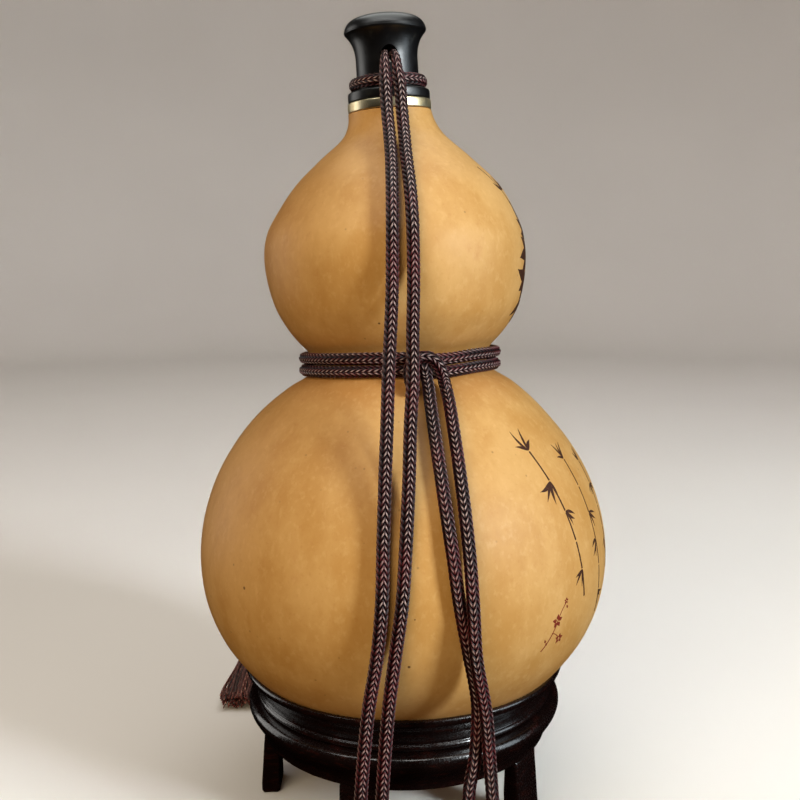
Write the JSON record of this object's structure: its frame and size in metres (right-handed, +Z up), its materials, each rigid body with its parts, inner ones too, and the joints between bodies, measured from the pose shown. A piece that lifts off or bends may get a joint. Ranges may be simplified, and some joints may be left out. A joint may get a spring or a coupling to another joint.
{
  "type": "dried bottle gourd",
  "caption": "Stoppered bottle gourd flask with a doubled braided cord and tassel, standing on a turned ring stand with legs.",
  "frame": {"origin": "on the table, under the middle of the stand and of the gourd's lower bulb", "axes": "+Z up; -Y towards the front, where the doubled cord hangs; +X to the right as seen from the front"},
  "size_m": [0.1779, 0.3346, 0.3188],
  "materials": {
    "gourd_rind": "waxed, satin",
    "brass": "polished",
    "black_lacquer": "polished black lacquer",
    "stand_lacquer": "dark red brown lacquer, glossy",
    "braided_cord": "braided, satin",
    "tassel_thread": "loose threads"
  },
  "bodies": {
    "root": {"gourd": "gourd_rind", "brass_ring": "brass", "collar": "black_lacquer", "stopper": "black_lacquer", "neck_cord": "braided_cord", "waist_cord_lower": "braided_cord", "waist_cord_upper": "braided_cord", "waist_knot": "braided_cord", "strap_outer": "braided_cord", "strap_inner": "braided_cord", "tail_outer": "braided_cord", "tail_inner": "braided_cord", "tassel_head": "braided_cord", "tassel_skirt": "tassel_thread", "stand_ring": "stand_lacquer", "stand_apron": "stand_lacquer", "leg_1": "stand_lacquer", "leg_2": "stand_lacquer", "leg_3": "stand_lacquer", "leg_4": "stand_lacquer", "leg_5": "stand_lacquer"}
  },
  "joints": []
}
